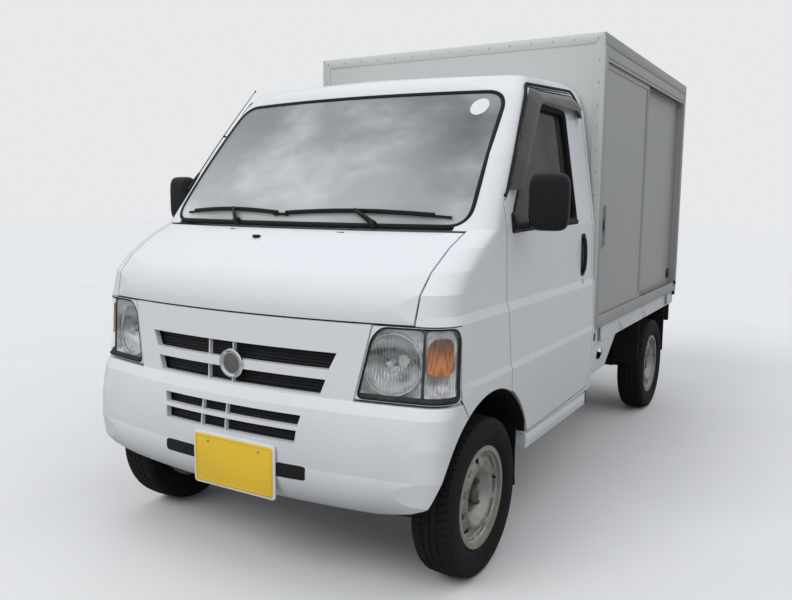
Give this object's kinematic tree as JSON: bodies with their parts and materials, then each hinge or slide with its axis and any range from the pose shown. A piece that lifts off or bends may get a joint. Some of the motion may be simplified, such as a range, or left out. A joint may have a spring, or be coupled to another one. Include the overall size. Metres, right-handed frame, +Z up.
{
  "type": "kei truck",
  "caption": "Small forward-cab truck with an aluminium box body, sliding side doors and rear swing doors; wheels, steering, doors and nose lid move.",
  "frame": {"origin": "on the ground under the middle of the truck's length and width", "axes": "+Z up, -Y towards the front of the truck, +X towards its left side"},
  "size_m": [1.8088, 3.394, 1.932],
  "materials": {
    "cab_paint": "gloss white paint",
    "bumper_white": "gloss white moulding",
    "aluminium_panel": "satin, lightly weathered",
    "bed_paint": "gloss white paint",
    "frame_black": "dull black paint",
    "engine_iron": "raw",
    "exhaust_steel": "dull",
    "black_plastic": "grained",
    "dash_grey": "grained",
    "seat_cloth": "woven",
    "window_glass": "clear",
    "lamp_lens": "clear",
    "lamp_reflector": "bright",
    "tail_lens": "clear red",
    "guard_rubber": "matt",
    "plate_yellow": "gloss",
    "wheel_steel": "silver, dirty",
    "tyre_rubber": "dusty"
  },
  "bodies": {
    "chassis": {"frame_rails": "frame_black", "engine_block": "engine_iron", "fuel_tank": "frame_black", "front_suspension": "frame_black", "rear_axle": "frame_black", "exhaust": "exhaust_steel", "cab_shell": "cab_paint", "front_fenders": "cab_paint", "bumper_fascia": "bumper_white", "grille_core": "black_plastic", "headlamp_housings": "lamp_reflector", "headlamp_lenses": "lamp_lens", "cab_glass": "window_glass", "wipers": "black_plastic", "dashboard": "dash_grey", "seats": "seat_cloth", "cargo_bed": "bed_paint", "box_shell": "aluminium_panel", "tail_lamps": "tail_lens", "mud_guards": "guard_rubber", "number_plate": "plate_yellow"},
    "hood": {"hood": "cab_paint"},
    "door_left": {"door_left": "cab_paint", "door_left_glass": "window_glass", "door_left_fittings": "black_plastic"},
    "door_right": {"door_right": "cab_paint", "door_right_glass": "window_glass", "door_right_fittings": "black_plastic"},
    "steering_wheel": {"steering_wheel": "black_plastic"},
    "knuckle_left": {"knuckle_left": "frame_black"},
    "knuckle_right": {"knuckle_right": "frame_black"},
    "wheel_front_left": {"rim_front_left": "wheel_steel", "tyre_front_left": "tyre_rubber"},
    "wheel_front_right": {"rim_front_right": "wheel_steel", "tyre_front_right": "tyre_rubber"},
    "wheel_rear_left": {"rim_rear_left": "wheel_steel", "tyre_rear_left": "tyre_rubber"},
    "wheel_rear_right": {"rim_rear_right": "wheel_steel", "tyre_rear_right": "tyre_rubber"},
    "side_door_front_left": {"side_door_front_left": "aluminium_panel"},
    "side_door_rear_left": {"side_door_rear_left": "aluminium_panel"},
    "side_door_front_right": {"side_door_front_right": "aluminium_panel"},
    "side_door_rear_right": {"side_door_rear_right": "aluminium_panel"},
    "rear_door_left": {"rear_door_left": "aluminium_panel"},
    "rear_door_right": {"rear_door_right": "aluminium_panel"}
  },
  "joints": [
    {"name": "hood_hinge", "type": "hinge", "parent": "chassis", "child": "hood", "pos_m": [0, -1.3475, 1.105], "axis": [-1, 0, 0], "range_deg": [0, 35]},
    {"name": "door_left_hinge", "type": "hinge", "parent": "chassis", "child": "door_left", "pos_m": [0.736, -1.1355, 0.8], "axis": [0, 0, -1], "range_deg": [0, 65]},
    {"name": "door_right_hinge", "type": "hinge", "parent": "chassis", "child": "door_right", "pos_m": [-0.736, -1.1355, 0.8], "axis": [0, 0, 1], "range_deg": [0, 65]},
    {"name": "steer_left", "type": "hinge", "parent": "chassis", "child": "knuckle_left", "pos_m": [0.585, -1.2425, 0.2], "axis": [-0.1676, 0, 0.9859], "range_deg": [-35, 35]},
    {"name": "steer_right", "type": "hinge", "parent": "chassis", "child": "knuckle_right", "pos_m": [-0.585, -1.2425, 0.2], "axis": [0.1676, 0, 0.9859], "range_deg": [-35, 35]},
    {"name": "steering_wheel_turn", "type": "hinge", "parent": "chassis", "child": "steering_wheel", "pos_m": [-0.33, -0.8925, 1.04], "axis": [0, 0.6691, 0.7431], "range_deg": [-620, 620]},
    {"name": "wheel_front_left_spin", "type": "hinge", "parent": "knuckle_left", "child": "wheel_front_left", "pos_m": [0.645, -1.2425, 0.264], "axis": [1, 0, 0], "continuous": true},
    {"name": "wheel_front_right_spin", "type": "hinge", "parent": "knuckle_right", "child": "wheel_front_right", "pos_m": [-0.645, -1.2425, 0.264], "axis": [1, 0, 0], "continuous": true},
    {"name": "wheel_rear_left_spin", "type": "hinge", "parent": "chassis", "child": "wheel_rear_left", "pos_m": [0.645, 1.1775, 0.264], "axis": [1, 0, 0], "continuous": true},
    {"name": "wheel_rear_right_spin", "type": "hinge", "parent": "chassis", "child": "wheel_rear_right", "pos_m": [-0.645, 1.1775, 0.264], "axis": [1, 0, 0], "continuous": true},
    {"name": "side_door_front_left_slide", "type": "slide", "parent": "chassis", "child": "side_door_front_left", "axis": [0, 1, 0], "range_m": [0, 0.86]},
    {"name": "side_door_rear_left_slide", "type": "slide", "parent": "chassis", "child": "side_door_rear_left", "axis": [0, -1, 0], "range_m": [0, 0.77]},
    {"name": "side_door_front_right_slide", "type": "slide", "parent": "chassis", "child": "side_door_front_right", "axis": [0, 1, 0], "range_m": [0, 0.86]},
    {"name": "side_door_rear_right_slide", "type": "slide", "parent": "chassis", "child": "side_door_rear_right", "axis": [0, -1, 0], "range_m": [0, 0.77]},
    {"name": "rear_door_left_hinge", "type": "hinge", "parent": "chassis", "child": "rear_door_left", "pos_m": [0.692, 1.6885, 1.27], "axis": [0, 0, -1], "range_deg": [0, 180]},
    {"name": "rear_door_right_hinge", "type": "hinge", "parent": "chassis", "child": "rear_door_right", "pos_m": [-0.692, 1.6885, 1.27], "axis": [0, 0, 1], "range_deg": [0, 180]}
  ],
  "couplings": [
    {"joint": "steer_right", "follows": "steer_left", "ratio": 1},
    {"joint": "steering_wheel_turn", "follows": "steer_left", "ratio": 17.7}
  ]
}
